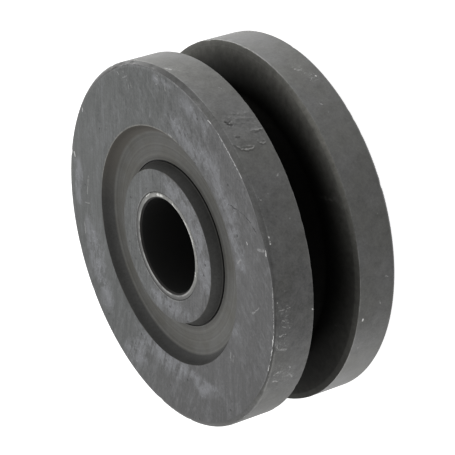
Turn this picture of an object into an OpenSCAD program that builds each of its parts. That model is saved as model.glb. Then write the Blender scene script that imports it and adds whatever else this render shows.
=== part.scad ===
// Grooved steel track wheel with a pressed-in bush.
//
// The wheel is one turned solid: two thick flanges, a deep flat-bottomed groove between them,
// and in each end a ring-shaped recess that leaves a raised hub around the bore. A thin steel
// bush is pressed through the hub. Both ends are alike.
//
// The wheel lies on one end. Its axis is +Z, and the origin is the middle of the lower end.
// Lengths are in millimetres and angles in degrees. Sections are drawn as [radius, height].

/* [Wheel] */
// Diameter over the treads of the two flanges
tread_d = 101.6; // [96:0.1:110]
// Width over the two end faces
wheel_w = 38.5; // [34:0.1:44]
// How far in from the tread the rounded end edge starts
edge_reach = 1.5; // [1.1:0.05:2]
// How far below the end face that edge meets the tread
edge_drop = 1.0; // [0.5:0.05:1.1]

/* [Groove] */
// Width of the groove's flat bottom
groove_w = 12.0; // [8:0.1:13]
// Diameter of the groove's bottom
groove_d = 74.0; // [70:0.1:80]
// Slope of each side of the groove away from square
groove_flare = 4.0; // [0:0.5:8]
// Radius in the two corners of the groove's bottom
groove_fillet = 1.2; // [0.4:0.1:2.5]
// Depth, down from the tread, of the wider lip at the groove's mouth
lip_depth = 1.6; // [0.6:0.1:2.5]
// Slope of that lip away from square
lip_flare = 19.0; // [10:0.5:35]

/* [Recess] */
// Outer diameter of the recess where it opens in the end face
recess_d = 66.6; // [60:0.1:70]
// Depth of the recess below the end face
recess_depth = 3.2; // [2:0.1:5]
// Draft of the recess walls, on the rim side and on the hub
wall_draft = 24.0; // [5:0.5:30]
// Radius where the rim-side wall runs into the floor
floor_fillet = 3.5; // [0.5:0.1:4]

/* [Hub] */
// Diameter of the hub's end face
hub_d = 42.8; // [38:0.1:46]
// Bevel at each end of the bush's seat in the hub
seat_bevel = 0.3; // [0.1:0.05:0.6]

/* [Bush] */
// Outside diameter of the bush, and so of its press seat
bush_d = 30.16; // [28:0.01:32]
// Bore of the bush, which runs on the axle
bush_bore_d = 26.5; // [24:0.05:27]
// How far each end of the bush lies below the hub's face
bush_inset = 0.1; // [0:0.05:0.5]
// Bevel at each end of the bush's bore
bore_bevel = 0.5; // [0.2:0.05:0.6]
// Bevel around each end of the bush's outside
rim_bevel = 0.25; // [0.1:0.05:0.3]

/* [Hidden] */

$fn = 180;
// How far a cutting shape runs past the surface that it opens
past = 1;

tread_r = tread_d / 2;
mid_z = wheel_w / 2;
seat_r = bush_d / 2;
bush_bore_r = bush_bore_d / 2;

// Radius of the end edge's arc: it leaves the end face smoothly and meets the tread below it
edge_r = (edge_reach * edge_reach + edge_drop * edge_drop) / (2 * edge_drop);

groove_r = groove_d / 2;
lip_r = tread_r - lip_depth;
lip_half_w = groove_w / 2 + (lip_r - groove_r) * tan(groove_flare);
mouth_half_w = lip_half_w + lip_depth * tan(lip_flare);

hub_r = hub_d / 2;
hub_foot_r = hub_r + recess_depth * tan(wall_draft);
recess_r = recess_d / 2;
recess_foot_r = recess_r - recess_depth * tan(wall_draft);
// The fillet reaches up the wall by its radius times this, and stops short of the end face
fillet_reach = tan((90 - wall_draft) / 2) * cos(wall_draft);
recess_fillet = min(floor_fillet, 0.9 * recess_depth / fillet_reach);

// Point at a distance from another, in a direction
function polar(from, angle, distance) = from + distance * [cos(angle), sin(angle)];

// What a fillet adds in the corner where two straight edges leave at angles a and b
module corner_fillet(corner, a, b, r) {
    half = (b - a) / 2;
    centre = polar(corner, a + half, r / sin(half));
    difference() {
        polygon([corner, polar(corner, a, r / tan(half)), centre, polar(corner, b, r / tan(half))]);
        translate(centre) circle(r);
    }
}

// Draws its children for the upper end, and again mirrored for the lower end
module both_ends() {
    children();
    translate([0, wheel_w]) mirror([0, 1]) children();
}

// The open space of the groove: flat bottom, nearly square sides and a wider lip
module groove_section() {
    difference() {
        polygon([
            [groove_r, mid_z - groove_w / 2],
            [lip_r, mid_z - lip_half_w],
            [tread_r, mid_z - mouth_half_w],
            [tread_r + past, mid_z - mouth_half_w],
            [tread_r + past, mid_z + mouth_half_w],
            [tread_r, mid_z + mouth_half_w],
            [lip_r, mid_z + lip_half_w],
            [groove_r, mid_z + groove_w / 2]
        ]);
        both_ends()
            corner_fillet([groove_r, mid_z + groove_w / 2], -90, groove_flare, groove_fillet);
    }
}

// The open space of the upper recess: drafted walls, and a fillet on the rim side only
module recess_section() {
    floor_z = wheel_w - recess_depth;
    difference() {
        polygon([
            [hub_foot_r, floor_z],
            [recess_foot_r, floor_z],
            [recess_r, wheel_w],
            [recess_r, wheel_w + past],
            [hub_r, wheel_w + past],
            [hub_r, wheel_w]
        ]);
        corner_fillet([recess_foot_r, floor_z], 90 - wall_draft, 180, recess_fillet);
    }
}

// What the rounded edge takes off between the upper end face and the tread
module edge_section() {
    difference() {
        translate([tread_r - edge_reach, wheel_w - edge_drop])
            square([edge_reach + past, edge_drop + past]);
        translate([tread_r - edge_reach, wheel_w - edge_r]) circle(edge_r);
    }
}

// What the bevel takes off at the upper end of the bush's seat
module seat_bevel_section() {
    polygon([
        [seat_r - past, wheel_w - seat_bevel],
        [seat_r, wheel_w - seat_bevel],
        [seat_r + seat_bevel, wheel_w],
        [seat_r + seat_bevel, wheel_w + past],
        [seat_r - past, wheel_w + past]
    ]);
}

// The turned wheel: flanges, groove web, recesses and hub in one piece
module wheel_body() {
    color([0.33, 0.34, 0.34])
        rotate_extrude()
            difference() {
                translate([seat_r, 0]) square([tread_r - seat_r, wheel_w]);
                groove_section();
                both_ends() {
                    recess_section();
                    edge_section();
                    seat_bevel_section();
                }
            }
}

// The bush: a thin tube, bevelled inside and outside at both ends
module bush() {
    low = bush_inset;
    high = wheel_w - bush_inset;
    color([0.62, 0.62, 0.60])
        rotate_extrude()
            polygon([
                [bush_bore_r + bore_bevel, low],
                [seat_r - rim_bevel, low],
                [seat_r, low + rim_bevel],
                [seat_r, high - rim_bevel],
                [seat_r - rim_bevel, high],
                [bush_bore_r + bore_bevel, high],
                [bush_bore_r, high - bore_bevel],
                [bush_bore_r, low + bore_bevel]
            ]);
}

wheel_body();
bush();
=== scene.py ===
# %% [markdown]
# # A grooved steel track wheel
#
# This notebook dresses a turned steel wheel: two thick flanges with a deep groove between
# them, a ring-shaped recess in each end, and a thin bush pressed through the hub. The solid
# model comes first, as a fixed frame. Every piece made here has to lie where the frame says,
# so the frame is loaded before anything else.

# %% Load the frame
import math
import random
import bpy
from mathutils import Matrix, Vector, kdtree, noise


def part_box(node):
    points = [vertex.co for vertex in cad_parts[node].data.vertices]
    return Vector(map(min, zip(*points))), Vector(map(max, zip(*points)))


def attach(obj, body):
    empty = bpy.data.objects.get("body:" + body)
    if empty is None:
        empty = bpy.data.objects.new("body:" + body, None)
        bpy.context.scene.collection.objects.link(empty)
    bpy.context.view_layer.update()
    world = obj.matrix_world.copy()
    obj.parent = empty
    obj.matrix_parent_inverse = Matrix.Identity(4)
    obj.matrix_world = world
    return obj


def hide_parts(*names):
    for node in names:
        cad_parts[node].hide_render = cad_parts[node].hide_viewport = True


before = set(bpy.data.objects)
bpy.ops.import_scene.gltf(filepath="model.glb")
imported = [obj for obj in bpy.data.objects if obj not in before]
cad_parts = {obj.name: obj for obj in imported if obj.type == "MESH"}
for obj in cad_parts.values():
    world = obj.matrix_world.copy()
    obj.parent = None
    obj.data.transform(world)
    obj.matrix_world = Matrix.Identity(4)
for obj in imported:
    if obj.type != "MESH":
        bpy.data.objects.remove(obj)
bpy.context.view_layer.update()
print("frame nodes:", sorted(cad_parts))

# %% [markdown]
# ## Measures
#
# Blender works in metres, but a turner thinks in millimetres, so the section is kept in
# millimetres and scaled once. Tread, width and bush follow from the frame's boxes. The rest
# are the turned details that a box can't tell.

# %% Measures
MM = 0.001
wheel_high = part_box("wheel_body")[1]
bush_low, bush_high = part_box("bush")
WIDTH = wheel_high.z / MM
MIDDLE = WIDTH / 2
TREAD_R = wheel_high.x / MM
SEAT_R = bush_high.x / MM
BUSH_INSET = bush_low.z / MM

GROOVE_R, GROOVE_HALF, GROOVE_SLOPE = 37.0, 6.0, math.radians(4)
LIP_DEPTH, LIP_SLOPE = 1.6, math.radians(19)
EDGE_REACH, EDGE_DROP = 1.5, 1.0
RECESS_R, HUB_R, RECESS_DEPTH, DRAFT = 33.3, 21.4, 3.2, math.radians(24)
BORE_R = 13.25
print("tread radius %.2f mm, width %.2f mm, seat radius %.2f mm" % (TREAD_R, WIDTH, SEAT_R))

# %% [markdown]
# ## Camera
#
# The wheel lies on one end, and the camera is rolled, so in the picture the wheel seems to
# stand on edge. A camera could be turned by hand until it looks right, but three small turns
# written as numbers can be changed one at a time: the camera starts square on the axle's
# line and then nods, swings and rolls. A long lens from a little over half a metre keeps the
# ellipses of the two flanges nearly alike.

# %% Camera
LENS_ANGLE = 61.558
LENS_DISTANCE = 12.666 * TREAD_R * MM
LENS_LENGTH = 189.79
LENS_SHIFT = 0.0011
NOD, SWING, ROLL = -0.438, 1.468, 17.237
SENSOR_WIDTH = 36
NEAREST_SEEN = 0.05


def turn(axis, degrees):
    return Matrix.Rotation(math.radians(degrees), 3, axis)


off_axis = math.radians(LENS_ANGLE)
back = Vector((math.sin(off_axis), 0, math.cos(off_axis)))
right = Vector((0, 1, 0)).cross(back).normalized()
up = back.cross(right)
square_on = Matrix((right, up, back))
aim = turn("X", NOD) @ turn("Y", SWING) @ turn("Z", ROLL) @ square_on

camera_data = bpy.data.cameras.new("camera")
camera_data.sensor_width = SENSOR_WIDTH
camera_data.lens = LENS_LENGTH
camera_data.shift_x = -LENS_SHIFT
camera_data.shift_y = LENS_SHIFT
camera_data.clip_start = NEAREST_SEEN
camera = bpy.data.objects.new("camera", camera_data)
bpy.context.scene.collection.objects.link(camera)
camera.matrix_world = aim.transposed().to_4x4()
camera.location = back * LENS_DISTANCE + Vector((0, 0, wheel_high.z))
bpy.context.scene.camera = camera
print("lens %.1f mm at %s" % (camera_data.lens, [round(c, 4) for c in camera.location]))

# %% [markdown]
# ## A short way to write shader maths
#
# Most of a metal's looks is arithmetic on positions: how far from the axis, how deep below
# the end face, how near an edge. Written node by node that fills pages. A small class that
# wraps a socket lets an expression such as `1 - mask * 0.5` add its own Math nodes, and one
# method makes every other node from its type, its settings and its inputs.

# %% Wires
class Wire:
    """An output of a node that can be added, multiplied and so on like a number."""

    def __init__(self, tree, output=None):
        self.tree = tree
        self.output = output

    def node(self, kind, settings=(), inputs=(), output=0):
        made = self.tree.nodes.new(kind)
        for name, value in dict(settings).items():
            setattr(made, name, value)
        for name, value in dict(inputs).items():
            self.feed(made.inputs[name], value)
        return type(self)(self.tree, made.outputs[output])

    def feed(self, socket, value):
        if isinstance(value, Wire):
            self.tree.links.new(value.output, socket)
        elif socket.type == "RGBA":
            socket.default_value = (*value, 1)
        else:
            socket.default_value = value

    def math(self, operation, first, second=0.0):
        return self.node("ShaderNodeMath", {"operation": operation}, {0: first, 1: second})

    def vector(self, operation, inputs, output=0):
        return self.node("ShaderNodeVectorMath", {"operation": operation}, inputs, output)

    def __add__(self, other):
        return self.math("ADD", self, other)

    __radd__ = __add__

    def __sub__(self, other):
        return self.math("SUBTRACT", self, other)

    def __rsub__(self, other):
        return self.math("SUBTRACT", other, self)

    def __mul__(self, other):
        return self.math("MULTIPLY", self, other)

    __rmul__ = __mul__

    def __truediv__(self, other):
        return self.math("DIVIDE", self, other)

    def __pow__(self, other):
        return self.math("POWER", self, other)

    def __abs__(self):
        return self.math("ABSOLUTE", self)

    def lower(self, other):
        return self.math("MINIMUM", self, other)

    def higher(self, other):
        return self.math("MAXIMUM", self, other)

    def rise(self, start, end, low=0.0, high=1.0):
        """Goes smoothly from low to high while this value goes from start to end."""
        settings = {"interpolation_type": "SMOOTHSTEP"}
        inputs = {"Value": self, "From Min": start, "From Max": end, "To Min": low, "To Max": high}
        return self.node("ShaderNodeMapRange", settings, inputs)

    def blend(self, first, second):
        """Mixes two colours, with this value as the share of the second."""
        settings = {"data_type": "RGBA"}
        return self.node("ShaderNodeMix", settings, {0: self, 6: first, 7: second}, output=2)

    def shade(self, factor):
        """Multiplies this colour by a value."""
        return self.vector("SCALE", {0: self, "Scale": factor})

    def part(self, index):
        """One of the three numbers of a vector."""
        return self.node("ShaderNodeSeparateXYZ", (), {0: self}, output=index)


print("wires ready")

# %% [markdown]
# ## Patterns on a place
#
# A finish asks two kinds of question about the place that is being coloured. Where on the
# wheel is it: how far from the axis, how deep, how near a scratch? And what does a pattern
# say there: noise for rubbed and mottled steel, rings for a turned face, cells for specks?
# Both start from the object's own coordinates, in millimetres, so the finish stays on the
# wheel wherever the wheel goes.

# %% Places
class Place(Wire):
    """A wire that carries a place on the wheel, with the patterns that can be laid there."""

    def from_axis(self):
        """Distance from the wheel's axis."""
        x, y = self.part(0), self.part(1)
        return (x * x + y * y) ** 0.5

    def below_end(self):
        """Depth below the nearer end face."""
        return MIDDLE - abs(self.part(2) - MIDDLE)

    def upper_half(self):
        """One above the middle of the groove, and zero below it."""
        return self.part(2).rise(MIDDLE - 1, MIDDLE + 1)

    def grey(self, level, tint):
        """A colour of one tint, as light as the level says."""
        return self.vector("SCALE", {0: tint, "Scale": level})

    def moved(self, other):
        """The sum of two vectors."""
        return self.vector("ADD", {0: self, 1: other})

    def placed(self, angle, scale, shift=(0, 0, 0)):
        """The vector turned about the wheel's axis, then stretched."""
        turning = {0: self, "Angle": math.radians(angle)}
        turned_place = self.node("ShaderNodeVectorRotate", {"rotation_type": "Z_AXIS"}, turning)
        return self.vector("MULTIPLY_ADD", {0: turned_place, 1: scale, 2: shift})

    def wobbled(self, size, amount):
        """The vector pushed about by noise, so that straight marks turn ragged."""
        inputs = {"Vector": self, "Scale": 1 / size, "Detail": 2.0}
        push = self.node("ShaderNodeTexNoise", (), inputs, output="Color")
        centred = {0: push, 1: (amount,) * 3, 2: (-amount / 2,) * 3}
        return self.moved(self.vector("MULTIPLY_ADD", centred))

    def cloud(self, size, detail=3.0, rough=0.55, warp=0.0):
        """Noise, about 0 to 1, whose lumps are about size apart in this vector's units."""
        inputs = {"Vector": self, "Scale": 1 / size, "Detail": detail, "Roughness": rough}
        inputs["Distortion"] = warp
        return self.node("ShaderNodeTexNoise", (), inputs)

    def rings(self, size, detail):
        """Noise along one number only, such as the distance from the axis."""
        inputs = {"W": self, "Scale": 1 / size, "Detail": detail}
        return self.node("ShaderNodeTexNoise", {"noise_dimensions": "1D"}, inputs)

    def specks(self, spacing, radius, share):
        """Small round dots in a share of the cells of a Voronoi pattern."""
        inputs = {"Vector": self, "Scale": 1 / spacing}
        gap = self.node("ShaderNodeTexVoronoi", (), inputs) * spacing
        colour = self.node("ShaderNodeTexVoronoi", (), inputs, output="Color")
        chosen = colour.part(0).rise(1 - share, 1 - share + 0.01)
        size = colour.part(1) * radius * 0.7 + radius * 0.3
        return (gap / size).rise(0.6, 1.0, 1.0, 0.0) * chosen

    def to_line(self, start, end):
        """Distance from this place to the line between two points."""
        run = Vector(end) - Vector(start)
        gap = self.vector("SUBTRACT", {0: self, 1: start})
        along = {0: gap, 1: run / run.length_squared}
        share = self.vector("DOT_PRODUCT", along, output="Value")
        share = self.node("ShaderNodeClamp", (), {0: share})
        foot = self.vector("SCALE", {0: run, "Scale": share})
        return self.vector("DISTANCE", {0: gap, 1: foot}, output="Value")

    def near(self, marks):
        """How near this place is to the nearest mark: 1 at its border and 0 on its line."""
        nearest = None
        for start, end, width in marks:
            gap = self.to_line(start, end) / width
            nearest = gap if nearest is None else nearest.lower(gap)
        return nearest


print("patterns ready")

# %% [markdown]
# ## Starting and closing a material
#
# All the steel finishes begin and end alike. They begin with a Principled shader and the
# place in millimetres. They end with a colour, a gloss, a share of metal and a height, which
# a Bump node turns into hollows and ridges too shallow to be worth modelling.

# %% Material helpers
BUMP_HEIGHT = 0.03 * MM


def new_material(name):
    """A material with its Principled shader, and a wire that carries millimetres."""
    material = bpy.data.materials.new(name)
    material.use_nodes = True
    shader = material.node_tree.nodes["Principled BSDF"]
    start = Place(material.node_tree)
    metres = start.node("ShaderNodeTexCoord", output="Object")
    return material, shader, start.vector("SCALE", {0: metres, "Scale": 1 / MM})


def close_material(place, shader, colour, roughness, metallic, height, strength):
    """Feeds the shader with all that makes a finish."""
    place.feed(shader.inputs["Base Color"], colour)
    place.feed(shader.inputs["Roughness"], roughness)
    place.feed(shader.inputs["Metallic"], metallic)
    bump = {"Height": height, "Strength": strength, "Distance": BUMP_HEIGHT}
    place.feed(shader.inputs["Normal"], place.node("ShaderNodeBump", (), bump))


print("material helpers ready")

# %% [markdown]
# ## The floor
#
# The wheel lies on plain white paper. Dark steel shows mostly what it reflects, so white
# surroundings matter more than lamps, and the floor glows a little for the camera and in
# reflections. Paper lit by lamps alone would turn grey. Under the wheel the floor gets no
# such help, or the bore would glow.

# %% Floor
SEEN_GLOW, FLOOR_GLOW, NEAR_GLOW = 0.86, 0.64, 0.8
FLOOR_SIZE = 6
# The floor lies a hair lower than the wheel, so that the two surfaces never share a place
FLOOR_GAP = 0.02 * MM


def white_floor():
    material, shader, place = new_material("floor_paper")
    seen = place.node("ShaderNodeLightPath", output="Is Camera Ray")
    mirrored = place.node("ShaderNodeLightPath", output="Is Glossy Ray")
    through = place.node("ShaderNodeLightPath", output="Is Transmission Ray")
    from_middle = place.vector("LENGTH", {0: place}, output="Value")
    open_floor = from_middle.rise(TREAD_R - 4, TREAD_R - 1)
    mirror_glow = from_middle.rise(TREAD_R + 8, TREAD_R + 55, NEAR_GLOW, FLOOR_GLOW)
    # Painted light: the glow seen in reflections is brighter on one side of the wheel
    mirror_glow = mirror_glow * (1.0 + place.part(1) / from_middle * 0.3)
    glow = (seen.higher(through) * SEEN_GLOW).higher(mirrored * mirror_glow) * open_floor
    shader.inputs["Base Color"].default_value = (0.8, 0.8, 0.8, 1)
    shader.inputs["Roughness"].default_value = 1.0
    shader.inputs["Emission Color"].default_value = (1, 1, 1, 1)
    place.feed(shader.inputs["Emission Strength"], glow)
    return material


bpy.ops.object.select_all(action="DESELECT")
bpy.ops.mesh.primitive_plane_add(size=FLOOR_SIZE, location=(0, 0, -FLOOR_GAP))
floor = bpy.context.object
floor.name = "floor"
floor.data.materials.append(white_floor())
print("floor %.0f m wide, %.2f mm below the wheel" % (FLOOR_SIZE, FLOOR_GAP / MM))

# %% [markdown]
# ## The room
#
# World light is the simplest room: it comes from all round, softly. Here it is full white to
# the camera and weaker as light. One side, where one would stand to look at the wheel, is
# dim, and that is what draws the dark walls of the hub and the recess.

# %% World
DARK_SIDE = (0.94, 0.0, 0.34)
DIM_SHARE = 0.5
ROOM_LIGHT, MIRRORED_EXTRA = 0.66, 0.3

world = bpy.data.worlds.new("studio")
world.use_nodes = True
scene = bpy.context.scene
scene.world = world
sky = Wire(world.node_tree)
seen = sky.node("ShaderNodeLightPath", output="Is Camera Ray")
mirrored = sky.node("ShaderNodeLightPath", output="Is Glossy Ray")
through = sky.node("ShaderNodeLightPath", output="Is Transmission Ray")
# In a world, the first output of this node is the direction that is looked in
direction = sky.node("ShaderNodeTexCoord", output=0)
facing = sky.vector("DOT_PRODUCT", {0: direction, 1: DARK_SIDE}, output="Value")
room = facing.rise(0.5, 0.92, 1.0, DIM_SHARE)
level = seen.higher(through).higher(room * (ROOM_LIGHT + mirrored * MIRRORED_EXTRA))
backdrop = world.node_tree.nodes["Background"]
backdrop.inputs["Color"].default_value = (1, 1, 1, 1)
sky.feed(backdrop.inputs["Strength"], level)
scene.view_settings.view_transform = "Standard"
print("room ready, its dim side at", DARK_SIDE)

# %% [markdown]
# ## The lamps
#
# Two long, flat lamps lie on the bench to the left and the right of the wheel. They could
# hang above it, but then they would light the floor of the recess and flatten it. So low,
# they only lighten the treads, and the brighter one gives the wheel its lighter side.

# %% Lamps
LAMP_WIDTH, LAMP_HEIGHT = 0.6, 0.04
LAMP_TARGET = Vector((0, 0, 0.02))


def bench_lamp(name, place, watts):
    """A wide, low lamp that faces the wheel."""
    data = bpy.data.lights.new(name, "AREA")
    data.shape = "RECTANGLE"
    data.size = LAMP_WIDTH
    data.size_y = LAMP_HEIGHT
    data.energy = watts
    made = bpy.data.objects.new(name, data)
    scene.collection.objects.link(made)
    made.location = place
    towards = LAMP_TARGET - made.location
    made.rotation_euler = towards.to_track_quat("-Z", "Y").to_euler()


bench_lamp("lamp_bright_side", (-0.2, 0.5, 0.02), 3.4)
bench_lamp("lamp_other_side", (-0.12, -0.55, 0.02), 2.0)
print("lamps:", [data.name for data in bpy.data.lights])

# %% [markdown]
# ## An outline with rounded corners
#
# A turned part is one outline swept round its axis. The outline is written as corners, each
# with the radius that the tool left there, from the middle of the groove outwards, over the
# tread and the end face, and down into the seat. Only the upper half is written: the lower
# half is its mirror image.

# %% Rounded outline
# Angle between two points on a rounded corner, in degrees, and the longest straight run
CORNER_STEP = 14
LONGEST_RUN = 1.5


def rounded(corners, spacing):
    """Points along an outline of (radius, depth, rounding), with long runs divided."""
    path = []
    last = len(corners) - 1
    for index, (r, depth, rounding) in enumerate(corners):
        here = Vector((r, depth))
        if index in (0, last) or rounding == 0:
            path.append(here)
            continue
        into = (Vector(corners[index - 1][:2]) - here).normalized()
        away = (Vector(corners[index + 1][:2]) - here).normalized()
        half = into.angle(away) / 2
        middle = here + (into + away).normalized() * (rounding / math.sin(half))
        first = (here + into * (rounding / math.tan(half)) - middle).normalized()
        final = (here + away * (rounding / math.tan(half)) - middle).normalized()
        steps = round(math.degrees(math.pi - 2 * half) / CORNER_STEP)
        steps = max(2, min(8, steps))
        for step in range(steps + 1):
            path.append(middle + first.slerp(final, step / steps) * rounding)
    divided = [path[0]]
    for start, end in zip(path, path[1:]):
        pieces = max(1, round((end - start).length / spacing))
        divided += [start.lerp(end, k / pieces) for k in range(1, pieces + 1)]
    return [(point.x, point.y) for point in divided]


print("corners are divided about every %d degrees" % CORNER_STEP)

# %% [markdown]
# ## The corners of the section
#
# Now the outline itself. The end edge isn't a plain radius: its arc leaves the end face
# smoothly and meets the tread at an angle, so its points are worked out. At the foot of the
# hub the tool ran a little too deep, and left a fine groove.

# %% Section of the wheel
ARC_STEPS = 6
FOOT_GROOVE = 0.2
SEAT_BEVEL = 0.15

lip_r = TREAD_R - LIP_DEPTH
lip_depth = MIDDLE - GROOVE_HALF - (lip_r - GROOVE_R) * math.tan(GROOVE_SLOPE)
mouth_depth = lip_depth - LIP_DEPTH * math.tan(LIP_SLOPE)
edge_arc = (EDGE_REACH ** 2 + EDGE_DROP ** 2) / (2 * EDGE_DROP)
arc_end = math.asin(EDGE_REACH / edge_arc)
arc_angles = [arc_end * (1 - step / ARC_STEPS) for step in range(ARC_STEPS + 1)]
end_edge = [
    (TREAD_R - EDGE_REACH + edge_arc * math.sin(a), edge_arc * (1 - math.cos(a)), 0)
    for a in arc_angles
]
lean = RECESS_DEPTH * math.tan(DRAFT)
half_section = [
    (GROOVE_R, MIDDLE, 0),
    (GROOVE_R, MIDDLE - GROOVE_HALF, 1.2),
    (lip_r, lip_depth, 0.3),
    (TREAD_R, mouth_depth, 0.2),
    *end_edge,
    (RECESS_R, 0, 0.15),
    (RECESS_R - lean, RECESS_DEPTH, 3.5),
    (HUB_R + lean + 0.35, RECESS_DEPTH, 0),
    (HUB_R + lean + 0.25, RECESS_DEPTH + FOOT_GROOVE, 0),
    (HUB_R + lean, RECESS_DEPTH + FOOT_GROOVE, 0),
    (HUB_R + lean - 0.05, RECESS_DEPTH - 0.1, 0),
    (HUB_R, 0, 0.15),
    (SEAT_R + SEAT_BEVEL, 0, 0),
    (SEAT_R, SEAT_BEVEL, 0),
    (SEAT_R, MIDDLE, 0),
]
outline = rounded(half_section, LONGEST_RUN)
print("half section: %d corners, %d points" % (len(half_section), len(outline)))

# %% [markdown]
# ## Turning the wheel
#
# A small plane that is merged at its centre gives one point to start from. Extruding that
# point from place to place draws the outline, as a pen would, a mirrored copy makes the lower
# half, and Spin carries it round the axis. Where the spin closes on itself the points are
# merged, and the normals are made to face outwards, because a spin can turn a shape inside
# out.

# %% Spin
MERGE_GAP = 1e-6


def at(angle, r, depth):
    """A place on the wheel in millimetres, from its angle, radius and depth."""
    turned_by = math.radians(angle)
    return Vector((r * math.cos(turned_by), r * math.sin(turned_by), WIDTH - depth))


def start_point(name, r, z):
    """A mesh of one point, from a plane merged at its centre."""
    bpy.ops.object.select_all(action="DESELECT")
    bpy.ops.mesh.primitive_plane_add(size=MM, location=(r * MM, 0, z * MM))
    made = bpy.context.object
    made.name = name
    made.data.name = name
    bpy.ops.object.transform_apply(location=True, rotation=False, scale=False)
    bpy.ops.object.mode_set(mode="EDIT")
    bpy.ops.mesh.select_mode(type="VERT")
    bpy.ops.mesh.select_all(action="SELECT")
    bpy.ops.mesh.merge(type="CENTER")
    return made


def turned(name, points, steps):
    """Draws half of a section by extruding a point, mirrors it and spins it."""
    made = start_point(name, points[0][0], WIDTH - points[0][1])
    for (r, depth), (next_r, next_depth) in zip(points, points[1:]):
        move = Vector(((next_r - r) * MM, 0, (depth - next_depth) * MM))
        bpy.ops.mesh.extrude_region_move(TRANSFORM_OT_translate={"value": move})
    bpy.ops.mesh.select_all(action="SELECT")
    bpy.ops.mesh.duplicate()
    centre = Vector((0, 0, MIDDLE * MM))
    bpy.ops.transform.resize(value=(1, 1, -1), center_override=centre)
    bpy.ops.mesh.select_all(action="SELECT")
    bpy.ops.mesh.remove_doubles(threshold=MERGE_GAP)
    bpy.ops.mesh.select_all(action="SELECT")
    bpy.ops.mesh.spin(steps=steps, angle=2 * math.pi, center=(0, 0, 0), axis=(0, 0, 1))
    bpy.ops.mesh.select_all(action="SELECT")
    bpy.ops.mesh.remove_doubles(threshold=MERGE_GAP)
    bpy.ops.mesh.normals_make_consistent(inside=False)
    bpy.ops.object.mode_set(mode="OBJECT")
    return made


WHEEL_STEPS = 400
wheel = turned("steel_wheel", outline, WHEEL_STEPS)
print("wheel: %d faces" % len(wheel.data.polygons))

# %% [markdown]
# ## The uneven end edge
#
# The outer corner of the upper end is not the same all the way round. On one quarter it is a
# flat bevel with two crisp borders, on the next it is nearly sharp, and elsewhere it is a
# gentle curve. The section gave the curve; here its points slide towards the bevel or the
# sharp corner, by a share that depends on the angle round the axis.

# %% Uneven edge
BEVEL_REACH, BEVEL_NARROWING, BEVEL_DROP = 1.15, 0.35, 1.05
SHARP_ROUNDING = 0.6
SLIP = 0.01


def polar(co):
    """Angle round the axis, distance from it and depth below the upper end."""
    angle = math.degrees(math.atan2(co.y, co.x))
    return angle, math.hypot(co.x, co.y) / MM, WIDTH - co.z / MM


def window(angle, start, end, soft):
    """One between two angles, and fading to zero beyond them."""
    inside = min(angle - start, end - angle) / soft + 1
    return max(0.0, min(1.0, inside))


def reshaped(angle, share):
    """Bevel or sharper corner at this angle: radius and depth, and how much of it to use."""
    if angle > -4:
        reach = BEVEL_REACH - BEVEL_NARROWING * max(0.0, min(1.0, (angle - 45) / 20))
        bevel = (TREAD_R - reach * (1 - share), BEVEL_DROP * share)
        return (*bevel, window(angle, 8, 80, 12))
    bend = share * math.pi / 2
    sharp_r = TREAD_R - SHARP_ROUNDING * (1 - math.sin(bend))
    sharp = (sharp_r, SHARP_ROUNDING * (1 - math.cos(bend)))
    return (*sharp, window(angle, -54, -16, 14))


moved = 0
for vertex in wheel.data.vertices:
    angle, r, depth = polar(vertex.co)
    reach = r - (TREAD_R - EDGE_REACH)
    if reach < -SLIP or depth > EDGE_DROP + SLIP:
        continue
    share = min(1.0, math.asin(max(0.0, min(1.0, reach / edge_arc))) / arc_end)
    new_r, new_depth, weight = reshaped(angle, share)
    new_r = r + (new_r - r) * weight
    new_depth = depth + (new_depth - depth) * weight
    vertex.co = at(angle, new_r, new_depth) * MM
    moved += weight > 0
print("end edge: %d points moved" % moved)

# %% [markdown]
# ## Where the tread was struck
#
# On one tread a patch of the skin is pressed and torn: something hard dragged over it, and
# the steel stands up in small lips at the end of the stroke. A patch like that needs real
# height, because it catches light on one side only. First the faces there are divided finer,
# so that there are enough points to move.

# %% Divide the torn patch
TORN_FROM, TORN_TO = 18.5, 35.0
TORN_TOP, TORN_FOOT = 0.9, 11.9


def select_faces(piece, wanted):
    """Leaves only the faces selected whose centre passes the test."""
    bpy.ops.object.mode_set(mode="EDIT")
    bpy.ops.mesh.select_mode(type="FACE")
    bpy.ops.mesh.select_all(action="DESELECT")
    bpy.ops.object.mode_set(mode="OBJECT")
    count = 0
    for face in piece.data.polygons:
        face.select = wanted(*polar(face.center))
        count += face.select
    bpy.ops.object.mode_set(mode="EDIT")
    return count


def in_patch(angle, r, depth, slack=0.3):
    """Whether a place is on the torn stretch of the tread."""
    return TORN_FROM < angle < TORN_TO and TORN_TOP < depth < TORN_FOOT and r > TREAD_R - slack


select_faces(wheel, in_patch)
bpy.ops.mesh.subdivide(number_cuts=6)
bpy.ops.object.mode_set(mode="OBJECT")
print("after dividing the patch: %d faces" % len(wheel.data.polygons))

# %% [markdown]
# ## Ridges and pits
#
# The torn metal is described as a maker would point at it: a ridge starts here, runs to
# there, and stands so high. Long ridges bend, so each is a chain of short straight runs. The
# height of a place is that of the tallest run near it, and falls off to both sides like a
# bell, which leaves no step in the surface.

# %% Ridges and pits
def chain(first, *stations):
    """Runs from station to station: two ends by angle and depth, a height and a width."""
    runs = []
    for angle, depth, height, width in stations:
        runs.append((*first, angle, depth, height, width))
        first = (angle, depth)
    return runs


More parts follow.
